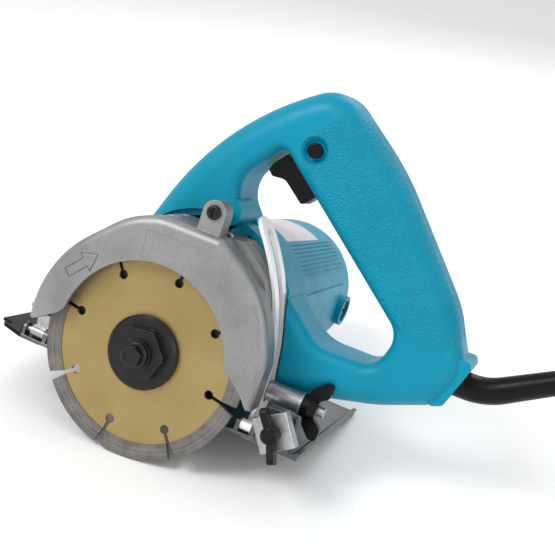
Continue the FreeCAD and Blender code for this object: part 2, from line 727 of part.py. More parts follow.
def armature_core():
    core = cyl_y(22.0, 69.0, 119.0, MOTOR_X, MOTOR_Z).cut(cyl_y(6.2, 60, 130, MOTOR_X, MOTOR_Z))
    cuts = []
    for i in range(12):
        slot = block(15.0, 23.0, 60, 130, -1.3, 1.3)
        slot.rotate(V(0, 0, 0), AY, -30.0 * i)
        slot.translate(V(MOTOR_X, 0, MOTOR_Z))
        cuts.append(slot)
    return core.cut(group(cuts))


def armature_windings():
    out = []
    for y0, y1 in ((60.0, 68.8), (119.2, 130.0)):
        ring = cyl_y(19.5, y0, y1, MOTOR_X, MOTOR_Z)
        edges = [e for e in ring.Edges if len(e.Vertexes) == 1]
        ring = ring.makeFillet(3.0, edges)
        out.append(ring.cut(cyl_y(6.2, 50, 140, MOTOR_X, MOTOR_Z)))
    return group(out)


def commutator():
    ring = cyl_y(14.0, 144.0, 163.0, MOTOR_X, MOTOR_Z)
    riser = cyl_y(15.6, 140.0, 144.0, MOTOR_X, MOTOR_Z)
    body = fuse([ring, riser]).cut(cyl_y(6.2, 130, 170, MOTOR_X, MOTOR_Z))
    cuts = []
    for i in range(24):
        slot = block(13.1, 17.0, 139, 164, -0.25, 0.25)
        slot.rotate(V(0, 0, 0), AY, -15.0 * i)
        slot.translate(V(MOTOR_X, 0, MOTOR_Z))
        cuts.append(slot)
    return body.cut(group(cuts))


def fan():
    hub = cyl_y(12.0, 34.0, 46.0, MOTOR_X, MOTOR_Z)
    plate = cyl_y(33.0, 34.0, 36.0, MOTOR_X, MOTOR_Z)
    blades = []
    for i in range(11):
        b = block(11.0, 33.0, 36.0, 46.0, -0.8, 0.8)
        b.rotate(V(0, 0, 0), AY, -360.0 * i / 11)
        b.translate(V(MOTOR_X, 0, MOTOR_Z))
        blades.append(b)
    body = fuse([hub, plate] + blades)
    return body.cut(cyl_y(6.2, 30, 50, MOTOR_X, MOTOR_Z))


def armature_bearings():
    front = bearing(23.0, 31.0, 5.03, 13.0, MOTOR_X, MOTOR_Z)
    rear = bearing(171.8, 178.8, 4.03, 11.0, MOTOR_X, MOTOR_Z)
    return group([front, rear])


def name_label():
    """Blank rating label on the top of the barrel."""
    outer = barrel_profile(-0.35, COLLAR_Y1 + 4, BARREL_END - 12)
    inner = barrel_profile(0.0, COLLAR_Y1 - 2, BARREL_END)
    window = block(MOTOR_X - 8.0, MOTOR_X + 18.8, 76.0, 143.0, MOTOR_Z + 20.0, 100.0)
    return outer.cut(inner).common(window)


# ------------------------------------------------------------------ handle

def handle_outer():
    return [(-28, 26, 0), (-39, 43, 14), (-8.4, 121.1, 150), (46.2, 154.5, 20), (86.4, 124.3, 150),
            (134, 71.5, 60), (148.2, 44.0, 14), (139.5, 23.5, 14), (113, 12.2, 80), (80, 3.4, 60),
            (45, 0.0, 0)]


def handle_inner():
    return [(24, 72, 0), (7.5, 92, 16), (27, 117.5, 5), (112, 49.7, 12), (106.5, 30.5, 11), (75, 30, 22),
            (50, 50, 0)]


def handle_body():
    y0 = HANDLE_Y - HANDLE_HALF
    y1 = HANDLE_Y + HANDLE_HALF
    body = prism(handle_outer(), y0, y1)
    body = body.makeFillet(12.0, face_edges(body, y0, y1, -30.0, 3.0))
    hole = prism(handle_inner(), y0 - 1, y1 + 1)
    body = body.cut(hole)
    inner_edges = []
    for e in face_edges(body, y0, y1, 12.0, 32.0):
        at = e.CenterOfMass
        if hole.isInside(V(at.x, HANDLE_Y, at.z), 1.5, True):
            inner_edges.append(e)
    body = body.makeFillet(6.0, inner_edges)
    boss = prism([(136, 50, 3), (148.6, 50.5, 2.5), (150.2, 47.0, 1.5), (143.4, 26.0, 3), (138, 23.5, 3),
                  (130, 28, 3)], HANDLE_Y - 12.5, HANDLE_Y + 12.5)
    body = fuse([body, boss])
    body = body.cut(cyl_y(COLLAR_R, y0 - 1, y1 + 1, MOTOR_X, MOTOR_Z))
    front = sector(90.0, GUIDE_R + 2.2, -40, 40, y0 - 1, GUIDE_Y1 + 0.4, DEPTH_X, DEPTH_Z)
    return body.cut(front).cut(cyl_y(6.6, y0 - 1, HANDLE_Y, 14.5, 78.6))


def face_edges(body, y0, y1, x_min, z_min):
    """Edges that lie in one of two planes square to Y, beyond a corner."""
    out = []
    for e in body.Edges:
        bb = e.BoundBox
        flat = abs(bb.YMax - bb.YMin) < 1e-6
        on = min(abs(bb.YMin - y0), abs(bb.YMin - y1)) < 1e-6
        at = e.CenterOfMass
        if flat and on and at.x > x_min and at.z > z_min:
            out.append(e)
    return out


def part_of_handle(y0, y1):
    return handle_body().common(block(-100, 200, y0, y1, -50, 200))


GRIP_U = (0.785, -0.62)
GRIP_O = (31.6, 112.8)


def grip_point(s, v):
    """Point in the grip: s along its lower line, v outward from the opening."""
    return (GRIP_O[0] + GRIP_U[0] * s - GRIP_U[1] * v, GRIP_O[1] + GRIP_U[1] * s + GRIP_U[0] * v)


def grip_prism(s0, s1, v0, v1, y0, y1, r=0.0):
    pts = []
    for s, v in ((s0, v0), (s1, v0), (s1, v1), (s0, v1)):
        x, z = grip_point(s, v)
        pts.append((x, z, r))
    return prism(pts, y0, y1)


BUTTON_X = 43.8
BUTTON_Z = 120.4


def handle_cuts():
    cuts = [grip_prism(-6.0, 92.0, 3.5, 28.5, HANDLE_Y - 13.0, HANDLE_Y + 13.0, 3.0)]
    cuts.append(grip_prism(-3.6, 24.5, -6.0, 5.0, HANDLE_Y - 6.6, HANDLE_Y + 6.6, 0.5))
    cuts.append(prism([(118, 23, 2), (134, 26, 2), (139.4, 28, 2), (139.4, 47, 2), (126, 60, 2), (114, 60, 2)],
                      HANDLE_Y - 12.0, HANDLE_Y + 12.0))
    cuts.append(cyl_x(7.2, 134.0, 160.0, HANDLE_Y, GUARD_Z))
    cuts.append(cyl_y(3.8, 10.0, HANDLE_Y, BUTTON_X, BUTTON_Z))
    dish = cone_y(7.4, 4.6, HANDLE_Y - HANDLE_HALF - 0.2, HANDLE_Y - HANDLE_HALF + 2.6, BUTTON_X, BUTTON_Z)
    cuts.append(dish)
    return cuts


def handle_screw_points():
    return [(-14.0, 84.0), (8.0, 112.0), (47.0, 144.0), (108.0, 87.0), (136.0, 52.0), (122.0, 22.5),
            (76.0, 14.0)]


def handle_near():
    body = part_of_handle(HANDLE_Y - HANDLE_HALF - 1, HANDLE_Y)
    for c in handle_cuts():
        body = body.cut(c)
    for x, z in handle_screw_points():
        body = body.cut(cyl_y(1.6, HANDLE_Y - 12.0, HANDLE_Y + 1, x, z))
    return max(body.Solids, key=lambda solid: solid.Volume)


def handle_far():
    body = part_of_handle(HANDLE_Y, HANDLE_Y + HANDLE_HALF + 1)
    for c in handle_cuts():
        body = body.cut(c)
    for x, z in handle_screw_points():
        body = body.cut(cyl_y(2.2, HANDLE_Y - 1, HANDLE_Y + HANDLE_HALF + 2, x, z))
        body = body.cut(cyl_y(3.8, HANDLE_Y + HANDLE_HALF - 6.0, HANDLE_Y + HANDLE_HALF + 2, x, z))
    return body


def handle_screws():
    out = []
    for x, z in handle_screw_points():
        out.append(pan_screw(x, z, HANDLE_Y + HANDLE_HALF - 6.0, 23.0, 3.4, 1.55, -1.0))
    return group(out)


TRIGGER_X = grip_point(0.5, 7.0)[0]
TRIGGER_Z = grip_point(0.5, 7.0)[1]


def trigger():
    """Rocking trigger: a beak at the front, a flat finger face and a hinge eye."""
    pts = [(20.6, 103.4, 0.8), (22.0, 107.0, 2.0), (27.0, 113.2, 1.0)]
    a = grip_point(-1.2, 5.5)
    b = grip_point(22.5, 5.5)
    c = grip_point(22.5, -0.5)
    pts.append((a[0], a[1], 1.5))
    pts.append((b[0], b[1], 1.0))
    pts.append((c[0], c[1], 0.8))
    pts.append((42.6, 92.2, 1.5))
    pts.append((30.5, 101.4, 6.0))
    pts.append((23.4, 100.8, 1.6))
    body = prism(pts, HANDLE_Y - 6.2, HANDLE_Y + 6.2)
    eye = cyl_y(3.6, HANDLE_Y - 6.2, HANDLE_Y + 6.2, TRIGGER_X, TRIGGER_Z)
    body = fuse([body, eye])
    return body.cut(cyl_y(1.55, 0, 80, TRIGGER_X, TRIGGER_Z))


def trigger_pin():
    return cyl_y(1.5, HANDLE_Y - 12.9, HANDLE_Y + 12.9, TRIGGER_X, TRIGGER_Z)


def trigger_spring():
    x, z = grip_point(17.0, 5.9)
    x1, z1 = grip_point(17.0, 9.6)
    axis = V(x1 - x, 0, z1 - z)
    length = axis.Length
    axis.normalize()
    rings = []
    for i in range(4):
        at = V(x, HANDLE_Y, z) + axis * (0.3 + i * (length - 1.1) / 3.0)
        outer = Part.makeCylinder(2.6, 0.5, at, axis)
        rings.append(outer.cut(Part.makeCylinder(1.8, 0.5, at, axis)))
    side = V(axis.z, 0, -axis.x)
    rail = Part.makeBox(0.6, 0.8, length - 0.3)
    rail.Placement = FreeCAD.Placement(V(x, HANDLE_Y - 0.4, z) + side * 1.9 + axis * 0.15,
                                       FreeCAD.Rotation(side, AY, axis, "XYZ"))
    return fuse(rings + [rail])


def switch_body():
    body = grip_prism(12.0, 58.0, 10.0, 28.2, HANDLE_Y - 10.0, HANDLE_Y + 10.0, 1.5)
    body = body.cut(grip_prism(50.0, 60.0, 14.0, 20.0, HANDLE_Y - 6.0, HANDLE_Y + 6.0))
    hole = cyl_y(4.4, 20.0, HANDLE_Y, BUTTON_X, BUTTON_Z)
    return body.cut(hole)


def lock_button():
    head = cyl_y(3.65, HANDLE_Y - HANDLE_HALF - 1.6, HANDLE_Y - 9.0, BUTTON_X, BUTTON_Z)
    rim = [e for e in head.Edges if abs(e.BoundBox.YMax - (HANDLE_Y - HANDLE_HALF - 1.6)) < 1e-6]
    head = head.makeFillet(0.9, rim)
    return head


# ---------------------------------------------------------------- the base

def base_plate():
    flat = block(BASE_X0, BASE_X1, BASE_Y0, BASE_Y1, SOLE_Z, SOLE_Z + PLATE_T)
    nose = prism([(BASE_X0, SOLE_Z, 0), (BASE_X0, SOLE_Z + PLATE_T, 0), (-86.4, -16.4, 0.6),
                  (-87.2, -18.2, 0.6)], BASE_Y0, BASE_Y1)
    lip = prism([(BASE_X1 - 3.2, SOLE_Z, 0), (BASE_X1 - 1.0, SOLE_Z, 0.5), (BASE_X1 + 0.9, SOLE_Z + 3.6, 0.4),
                 (BASE_X1 - 1.0, SOLE_Z + 4.2, 0.4), (BASE_X1 - 3.2, SOLE_Z + PLATE_T, 0)], BASE_Y0, BASE_Y1)
    plate = fuse([flat, nose, lip])
    notch = block(-26.5, 26.5, BASE_Y0 - 1, 27.5, SOLE_Z - 1, SOLE_Z + 5)
    plate = plate.cut(notch)
    # front corners are cut off in plan
    corner = Part.makeBox(8, 8, 10, V(0, 0, 0))
    corner.rotate(V(0, 0, 0), AZ, 45)
    front_far = corner.copy()
    front_far.translate(V(-87.2, BASE_Y1 - 5.0, -25))
    front_near = corner.copy()
    front_near.translate(V(-87.2, BASE_Y0 - 6.3, -25))
    plate = plate.cut(front_far).cut(front_near)
    chamfer = prism_x([(BASE_Y0 - 0.5, SOLE_Z - 0.5, 0), (BASE_Y0 + 1.6, SOLE_Z - 0.5, 0),
                       (BASE_Y0 - 0.5, SOLE_Z + 1.6, 0)], -60, 60)
    plate = plate.cut(chamfer)
    ears = []
    for x0, x1 in ((-72.2, -70.0), (-58.8, -56.6), (55.0, 57.0), (63.6, 65.6)):
        ear = fuse([cyl_x(3.1, x0, x1, TILT_Y, TILT_Z),
                    block(x0, x1, TILT_Y - 3.1, TILT_Y + 3.1, SOLE_Z + 0.5, TILT_Z)])
        ears.append(ear)
    plate = fuse([plate] + ears + [quadrant(), rule_lug()])
    for x0, x1 in ((-73.0, -56.0), (54.0, 66.0)):
        plate = plate.cut(cyl_x(1.5, x0, x1, TILT_Y, TILT_Z))
    plate = plate.cut(cyl_y(3.05, 0, 12, RULE_X, RULE_Z))
    # sight notch in the nose, in line with the cut
    notch2 = block(-90.0, -80.5, 6.0, 9.0, -25, -10)
    return plate.cut(notch2)


QUAD_X0 = -69.4
QUAD_X1 = -67.4
QUAD_R = 18.0
QUAD_A = 30.0
QUAD_SWEEP = 45.0


def quad_point(r, a):
    return (TILT_Y + r * math.cos(math.radians(a)), TILT_Z + r * math.sin(math.radians(a)))


def ring_x(r0, r1, a0, a1, x0, x1):
    """Piece of a ring about the tilt axis; angles in degrees from +Y to +Z."""
    def at(r, a):
        y, z = quad_point(r, a)
        return V(x0, y, z)
    mid = (a0 + a1) / 2.0
    edges = [Part.Arc(at(r1, a0), at(r1, mid), at(r1, a1)).toShape()]
    edges.append(Part.LineSegment(at(r1, a1), at(r0, a1)).toShape())
    edges.append(Part.Arc(at(r0, a1), at(r0, mid), at(r0, a0)).toShape())
    edges.append(Part.LineSegment(at(r0, a0), at(r1, a0)).toShape())
    return Part.Face(Part.Wire(edges)).extrude(V(x1 - x0, 0, 0))


def quadrant():
    """Upright of the base with the curved slot of the bevel clamp."""
    arc = ring_x(12.0, 23.0, -14.0, 92.0, QUAD_X0, QUAD_X1)
    foot = block(QUAD_X0, QUAD_X1, 12.0, 30.0, SOLE_Z + 0.5, SOLE_Z + 6.0)
    body = fuse([arc, foot]).common(block(-80, -60, 8.3, 60, SOLE_Z + 0.3, 40))
    slot = ring_x(QUAD_R - 2.7, QUAD_R + 2.7, QUAD_A, QUAD_A + QUAD_SWEEP, QUAD_X0 - 1, QUAD_X1 + 1)
    for a in (QUAD_A, QUAD_A + QUAD_SWEEP):
        y, z = quad_point(QUAD_R, a)
        slot = fuse([slot, cyl_x(2.7, QUAD_X0 - 1, QUAD_X1 + 1, y, z)])
    return body.cut(slot)


RULE_X = 77.6
RULE_Z = -9.0
SADDLE_A = 9.2              # half width of the saddle across the rule
SADDLE_B = 8.7
CASE_TAIL_X = 63.5          # flat on the tail of the case, clear of the rule screw


def rule_lug():
    """Upright lug flush with the near edge, which carries the rule clamp."""
    return prism([(66.5, SOLE_Z, 0), (84.2, SOLE_Z, 0), (84.2, -1.2, 2.0), (66.5, -1.2, 3.0)], 4.0, 6.4)


def rule_nut():
    """Square nut welded behind the lug."""
    nut = block(RULE_X - 5.0, RULE_X + 5.0, 6.4, 9.4, RULE_Z - 5.0, RULE_Z + 5.0)
    return nut.cut(cyl_y(3.05, 0, 12, RULE_X, RULE_Z))


def tilt_pins():
    out = []
    for x0, x1 in ((-72.8, -56.0), (54.4, 66.2)):
        out.append(cyl_x(1.5, x0, x1, TILT_Y, TILT_Z))
    return group(out)


# ----------------------------------------------- pieces that set the depth

def tilt_bracket():
    """Front bracket: turns on the depth pin and stands on the bevel hinge."""
    upright = prism([(-66.6, -13.0, 0), (-59.2, -13.0, 0), (-57.0, 1.0, 0), (-60.0, 5.5, 3.0), (-66.4, 2.5, 3.0)],
                    8.4, 11.4)
    eye = cyl_y(5.0, 8.4, 11.4, DEPTH_X, DEPTH_Z)
    face = prism_x([(8.4, -13.0, 0), (27.0, -13.0, 3.0), (27.0, -0.6, 4.0), (8.4, -0.6, 1.0)], -66.8, -64.6)
    barrel = cyl_x(2.9, -69.6 + 2.6, -59.2, TILT_Y, TILT_Z)
    neck = block(-66.8, -59.2, TILT_Y - 1.0, 11.4, -15.0, -12.6)
    body = fuse([upright, eye, face, barrel, neck])
    body = body.cut(cyl_x(1.55, -80, -50, TILT_Y, TILT_Z))
    body = body.cut(cyl_y(2.53, 0, 30, DEPTH_X, DEPTH_Z))
    y, z = quad_point(QUAD_R, QUAD_A)
    return body.cut(cyl_x(2.5, -80, -50, y, z))


def depth_pin():
    return fuse([cyl_y(2.5, 5.4, 13.4, DEPTH_X, DEPTH_Z), cyl_y(2.9, 11.7, 13.4, DEPTH_X, DEPTH_Z)])


def bevel_bolt():
    y, z = quad_point(QUAD_R, QUAD_A)
    head = cyl_x(4.6, -64.6, -62.2, y, z)
    return fuse([head, cyl_x(2.5, -79.5, -64.6, y, z)])


def wing(r_hub, reach, thick, flare, sign):
    """One wing of a wing nut about +X, before it is put in place."""
    pts = [(0.6, r_hub * 0.35, 0.5), (0.6 + flare * 0.25, reach * 0.62, 2.5), (flare, reach, 1.6),
           (flare + 4.0, reach, 1.8), (flare + 4.4, reach * 0.55, 3.0), (4.2, r_hub * 0.35, 0.5)]
    blade = prism(pts, -thick / 2, thick / 2)
    if sign < 0:
        blade.rotate(V(0, 0, 0), AX, 180)
    return blade


def wing_nut(r_hub, length, reach, thick, flare, bore):
    hub = fuse([cyl_x(r_hub, 0, length * 0.5, 0, 0), cone_x(r_hub, r_hub * 0.8, length * 0.5, length, 0, 0)])
    body = fuse([hub, wing(r_hub, reach, thick, flare, 1), wing(r_hub, reach, thick, flare, -1)])
    return body.cut(cyl_x(bore, -1, length + 20, 0, 0))


def bevel_nut():
    y, z = quad_point(QUAD_R, QUAD_A)
    nut = wing_nut(4.4, 5.0, 9.6, 2.4, 1.5, 2.55)
    nut.rotate(V(0, 0, 0), AZ, 180)
    nut.rotate(V(0, 0, 0), AX, 60)
    nut.translate(V(QUAD_X0 - 0.2, y, z))
    return nut


def depth_guide():
    """Slotted strip, round about the depth hinge, with an eye at its foot."""
    a0 = -9.0
    a1 = 37.5
    strip = sector(GUIDE_R - 1.0, GUIDE_R + 1.0, a0, a1, GUIDE_Y0, GUIDE_Y1, DEPTH_X, DEPTH_Z)
    mid_y = (GUIDE_Y0 + GUIDE_Y1) / 2.0
    half = (GUIDE_Y1 - GUIDE_Y0) / 2.0
    strip = fuse([strip, radial_disc(half, a1, mid_y)])
    slot = sector(GUIDE_R - 3, GUIDE_R + 3, -2.2 + 0.6, 36.8, mid_y - 3.2, mid_y + 3.2, DEPTH_X, DEPTH_Z)
    strip = strip.cut(slot)
    for a in (-1.6, 36.8):
        strip = strip.cut(radial_pin(3.2, a, mid_y))
    foot = fuse([cyl_x(2.9, 57.3, 63.3, TILT_Y, TILT_Z),
                 block(57.3, 61.5, TILT_Y, 16.0, TILT_Z - 2.9, TILT_Z - 0.9),
                 block(58.6, 61.4, 11.0, 24.0, TILT_Z - 2.9, TILT_Z + 1.0)])
    clear = cyl_x(1.55, 50, 70, TILT_Y, TILT_Z)
    return fuse([strip, foot]).cut(clear)


def radial_pin(r, a, y, r0=GUIDE_R - 6, r1=GUIDE_R + 6):
    d = V(math.cos(math.radians(a)), 0, math.sin(math.radians(a)))
    at = V(DEPTH_X, y, DEPTH_Z) + d * r0
    return Part.makeCylinder(r, r1 - r0, at, d)


def radial_disc(r, a, y):
    pin = radial_pin(r, a, y)
    shell = cyl_y(GUIDE_R + 1.0, 0, 60, DEPTH_X, DEPTH_Z).cut(cyl_y(GUIDE_R - 1.0, 0, 60, DEPTH_X, DEPTH_Z))
    return pin.common(shell)


def depth_bolt():
    """Stud in the gear housing that passes through the slot of the guide."""
    return cyl_x(2.5, 46.0, 92.0, clamp_y(), clamp_z())


def clamp_collar():
    """Long spacer between the guide and the wing nut."""
    body = cyl_x(5.3, 61.8, 79.2, clamp_y(), clamp_z())
    return body.cut(cyl_x(2.6, 50, 100, clamp_y(), clamp_z()))


def clamp_washer():
    body = cyl_x(6.0, 79.2, 80.4, clamp_y(), clamp_z())
    return body.cut(cyl_x(2.6, 50, 100, clamp_y(), clamp_z()))


def depth_nut():
    nut = wing_nut(6.0, 8.0, 15.0, 3.4, 8.0, 2.55)
    nut.translate(V(80.4, clamp_y(), clamp_z()))
    return nut


# -------------------------------------------------------- rule clamp parts

SADDLE_TURN = 34.0


def rule_saddle():
    """Channel that holds the guide rule against the lug; it turns on its screw."""
    a = SADDLE_A
    b = SADDLE_B
    web = block(-a, a, -8.0, -6.4, -b, b)
    left = block(-a, 1.6 - a, -8.0, -2.4, -b, b)
    right = block(a - 1.6, a, -8.0, -2.4, -b, b)
    body = fuse([web, left, right])
    edges = []
    for e in body.Edges:
        bb = e.BoundBox
        corner = abs(abs(bb.XMin) - a) < 1e-6 and abs(bb.XMax - bb.XMin) < 1e-6
        if corner and abs(bb.YMin + 8.0) < 1e-6 and abs(bb.YMax + 8.0) < 1e-6:
            edges.append(e)
    body = body.makeFillet(1.5, edges)
    body = body.cut(cyl_y(3.15, -10, 5))
    body.rotate(V(0, 0, 0), AY, -SADDLE_TURN)
    body.translate(V(RULE_X, 0, RULE_Z))
    return body


def rule_screw():
    hub = fuse([cyl_y(4.2, -14.0, -8.3), cone_y(3.2, 4.2, -14.8, -14.0)])
    shank = cyl_y(2.95, -8.3, 11.0)
    parts = [hub, shank]
    for sign in (-1, 1):
        pts = [(-8.6, sign * 1.5, 0.3), (-13.4, sign * 1.5, 0.3), (-17.6, sign * 12.6, 1.8),
               (-12.8, sign * 13.9, 1.8)]
        wing_body = prism([(-p[0], p[1], p[2]) for p in pts], -1.7, 1.7)
        wing_body.rotate(V(0, 0, 0), AZ, -90)
        parts.append(wing_body)
    body = fuse(parts)
    body.rotate(V(0, 0, 0), AY, -28.0)
    body.translate(V(RULE_X, 0, RULE_Z))
    return body


# ------------------------------------------------------------ cord guard

def cord_guard():
    """Rubber sleeve; it leaves the handle level and then bends up."""
    path = cord_guard_path()
    start = path.Edges[0].firstVertex().Point
    profile = Part.Wire(Part.makeCircle(7.1, start, AX))
    tail = path.Edges[-1].lastVertex().Point
    last = Part.Wire(Part.makeCircle(5.8, tail, GUARD_DIR))
    sleeve = Part.BRepOffsetAPI.MakePipeShell(path)
    sleeve.add(profile)
    sleeve.add(last)
    sleeve.build()
    sleeve.makeSolid()
    collar = cyl_x(8.4, 134.6, 139.0, HANDLE_Y, GUARD_Z)
    return fuse([sleeve.shape(), collar])


GUARD_Z = 36.8
GUARD_BEND = 31.0
GUARD_X = 150.0             # where the bend starts
GUARD_T = 9.0
GUARD_TAIL = 36.0
GUARD_DIR = V(math.cos(math.radians(GUARD_BEND)), 0, math.sin(math.radians(GUARD_BEND)))


def cord_guard_path():
    a = V(138.0, HANDLE_Y, GUARD_Z)
    b = V(GUARD_X, HANDLE_Y, GUARD_Z)
    bend_end = V(GUARD_X + GUARD_T, HANDLE_Y, GUARD_Z) + GUARD_DIR * GUARD_T
    half = math.radians(GUARD_BEND / 2.0)
    r = GUARD_T / math.tan(half)
    mid = V(b.x + math.sin(half) * r, b.y, b.z + r - math.cos(half) * r)
    end = bend_end + GUARD_DIR * GUARD_TAIL
    edges = [Part.LineSegment(a, b).toShape(), Part.Arc(b, mid, bend_end).toShape(),
             Part.LineSegment(bend_end, end).toShape()]
    return Part.Wire(edges)


def cord_clamp():
    """Bar across the cord guard's collar, screwed down inside the handle."""
    return block(128.5, 133.5, HANDLE_Y - 10.0, HANDLE_Y + 10.0, 29.5, 31.9)


# ------------------------------------------------------------ mains cord

def tube_path(points):
    """Straight runs joined by tangent arcs, each as large as its runs allow."""
    pts = [V(*p) for p in points]
    edges = []
    at = pts[0]
    radii = []
    for i in range(1, len(pts) - 1):
        back = pts[i - 1] - pts[i]
        ahead = pts[i + 1] - pts[i]
        t = 0.45 * min(back.Length, ahead.Length)
        u = back.normalize()
        w = ahead.normalize()
        half = (math.pi - math.acos(u.dot(w))) / 2.0
        r = t / math.tan(half)
        radii.append(r)
        start = pts[i] + u * t
        stop = pts[i] + w * t
        inward = (u + w).normalize()
        mid = pts[i] + inward * (r / math.cos(half) - r)
        edges.append(Part.LineSegment(at, start).toShape())
        edges.append(Part.Arc(start, mid, stop).toShape())
        at = stop
    edges.append(Part.LineSegment(at, pts[-1]).toShape())
    return Part.Wire(edges), radii


def tube(points, name):
    path, radii = tube_path(points)
    first = path.Edges[0].tangentAt(path.Edges[0].FirstParameter)
    profile = Part.Wire(Part.makeCircle(CORD_D / 2.0, V(*points[0]), first))
    shell = Part.BRepOffsetAPI.MakePipeShell(path)
    shell.add(profile)
    shell.build()
    shell.makeSolid()
    solid = shell.shape()
    ideal = path.Length * math.pi * CORD_D ** 2 / 4.0
    print(name, "length %.1f radii" % path.Length, " ".join("%.1f" % r for r in radii),
          "volume %.0f of %.0f" % (solid.Volume, ideal))
    return solid


def cord():
    return group([tube(CORD_ROUTE, "cord"), tube(TAIL_ROUTE, "tail")])


def cord_coil():
    """Outer shape of the neat coil of the rest of the cord."""
    wide = COIL_COLUMNS * CORD_D
    high = COIL_LAYERS * CORD_D
    r0 = COIL_R - wide / 2.0
    r1 = COIL_R + wide / 2.0
    k = CORD_D / 2.0
    section = Part.Face(rounded([(r0, 0, k), (r1, 0, k), (r1, high, k), (r0, high, k)]))
    ring = section.revolve(V(0, 0, 0), AZ, 360)
    ring.translate(V(COIL_X, COIL_Y, 0.05))
    return ring


def on_coil(shape):
    """Lay a piece of the plug, drawn along +X, on top of the coil."""
    shape.rotate(V(0, 0, 0), AX, 90)
    shape.rotate(V(0, 0, 0), AZ, PLUG_TURN)
    shape.translate(V(*TAIL_ROUTE[-1]))
    return shape


def plug():
    """Moulded two-pin plug with a tapered tail."""
    outline = [(12.0, -7.0, 3), (27.0, -17.5, 9), (49.0, -17.5, 3), (49.0, 17.5, 3), (27.0, 17.5, 9),
               (12.0, 7.0, 3)]
    body = prism(outline, -7.9, 7.9)
    edges = [e for e in body.Edges if abs(e.BoundBox.YMax - e.BoundBox.YMin) < 1e-6]
    body = body.makeFillet(2.4, edges)
    tail = cone_x(4.9, 7.0, 0.0, 16.0, 0, 0)
    tail = tail.cut(group([cyl_x(9.0, x, x + 1.2, 0, 0).cut(cyl_x(4.6 + 0.1 * x, x, x + 1.2, 0, 0))
                           for x in (2.0, 4.6, 7.2, 9.8)]))
    body = fuse([body, tail])
    for z in (-9.5, 9.5):
        body = body.cut(cyl_x(2.4, 40.0, 50.0, 0, z))
    return on_coil(body)


def plug_pins():
    pins = []
    for z in (-9.5, 9.5):
        tip = cone_x(2.4, 1.2, 66.8, 68.0, 0, z)
        pins.append(fuse([cyl_x(2.4, 40.0, 66.8, 0, z), tip]))
    return on_coil(group(pins))


NODES = {
    "blade_core": blade_core,
    "diamond_segments": diamond_segments,
    "inner_flange": inner_flange,
    "outer_flange": outer_flange,
    "bolt_washer": bolt_washer,
    "blade_bolt": blade_bolt,
    "spindle": spindle,
    "spindle_gear": spindle_gear,
    "spindle_bearings": spindle_bearings,
    "bearing_retainer": bearing_retainer,
    "retainer_screws": retainer_screws,
    "gear_housing": gear_housing,
    "housing_screws": housing_screws,
    "blade_case": blade_case,
    "case_screws": case_screws,
    "crown_screw": crown_screw,
    "motor_housing": motor_housing,
    "brush_caps": brush_caps,
    "brush_holders": brush_holders,
    "carbon_brushes": carbon_brushes,
    "brush_springs": brush_springs,
    "baffle_plate": baffle_plate,
    "field_stator": field_stator,
    "field_coils": field_coils,
    "armature_shaft": armature_shaft,
    "armature_core": armature_core,
    "armature_windings": armature_windings,
    "commutator": commutator,
    "fan": fan,
    "armature_bearings": armature_bearings,
    "name_label": name_label,
    "handle_near": handle_near,
    "handle_far": handle_far,
    "handle_screws": handle_screws,
    "trigger": trigger,
    "trigger_pin": trigger_pin,
    "trigger_spring": trigger_spring,
    "switch_body": switch_body,
    "lock_button": lock_button,
    "base_plate": base_plate,
    "rule_nut": rule_nut,
    "tilt_pins": tilt_pins,
    "tilt_bracket": tilt_bracket,
    "depth_pin": depth_pin,
    "bevel_bolt": bevel_bolt,
    "bevel_nut": bevel_nut,
    "depth_guide": depth_guide,
    "depth_bolt": depth_bolt,
    "clamp_collar": clamp_collar,
    "clamp_washer": clamp_washer,
    "depth_nut": depth_nut,
    "rule_saddle": rule_saddle,
    "rule_screw": rule_screw,
    "cord_guard": cord_guard,
    "cord_clamp": cord_clamp,
}

# drawn in the floor's axes
FLOOR_NODES = {
    "cord": cord,
    "cord_coil": cord_coil,
    "plug": plug,
    "plug_pins": plug_pins,
}


def rest_placement():
    turn = FreeCAD.Rotation(AY, REST_PITCH).multiply(FreeCAD.Rotation(AX, REST_LEAN))
    return FreeCAD.Placement(V(REST_X, REST_Y, REST_LIFT), turn)


def main():
    os.makedirs("parts", exist_ok=True)
    place = rest_placement()
    for name, make in NODES.items():
        shape = make()
        shape.Placement = place.multiply(shape.Placement)
        shape.exportStep("parts/" + name + ".step")
    for name, make in FLOOR_NODES.items():
        make().exportStep("parts/" + name + ".step")


main()
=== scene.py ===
import json
import math

import bpy
from mathutils import Matrix, Vector


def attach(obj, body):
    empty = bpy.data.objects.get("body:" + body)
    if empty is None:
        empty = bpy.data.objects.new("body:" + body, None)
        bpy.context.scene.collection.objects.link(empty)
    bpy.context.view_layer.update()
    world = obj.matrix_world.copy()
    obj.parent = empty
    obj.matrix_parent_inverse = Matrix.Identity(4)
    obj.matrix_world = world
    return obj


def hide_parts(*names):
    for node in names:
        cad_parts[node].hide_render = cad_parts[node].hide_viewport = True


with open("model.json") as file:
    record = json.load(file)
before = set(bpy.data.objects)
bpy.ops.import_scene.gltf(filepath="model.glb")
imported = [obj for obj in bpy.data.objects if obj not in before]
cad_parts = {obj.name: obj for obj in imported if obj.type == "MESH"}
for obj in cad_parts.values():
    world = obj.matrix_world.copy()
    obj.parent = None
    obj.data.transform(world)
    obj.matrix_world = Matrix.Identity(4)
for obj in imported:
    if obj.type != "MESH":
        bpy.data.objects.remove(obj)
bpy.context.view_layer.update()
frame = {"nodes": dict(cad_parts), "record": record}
scene = bpy.context.scene


# ------------------------------------------------------------ the saw's own axes
# X rearward, Y from the blade to the motor, Z square to the sole, origin at the
# blade's centre; the saw rests on the floor pitched and leaning.

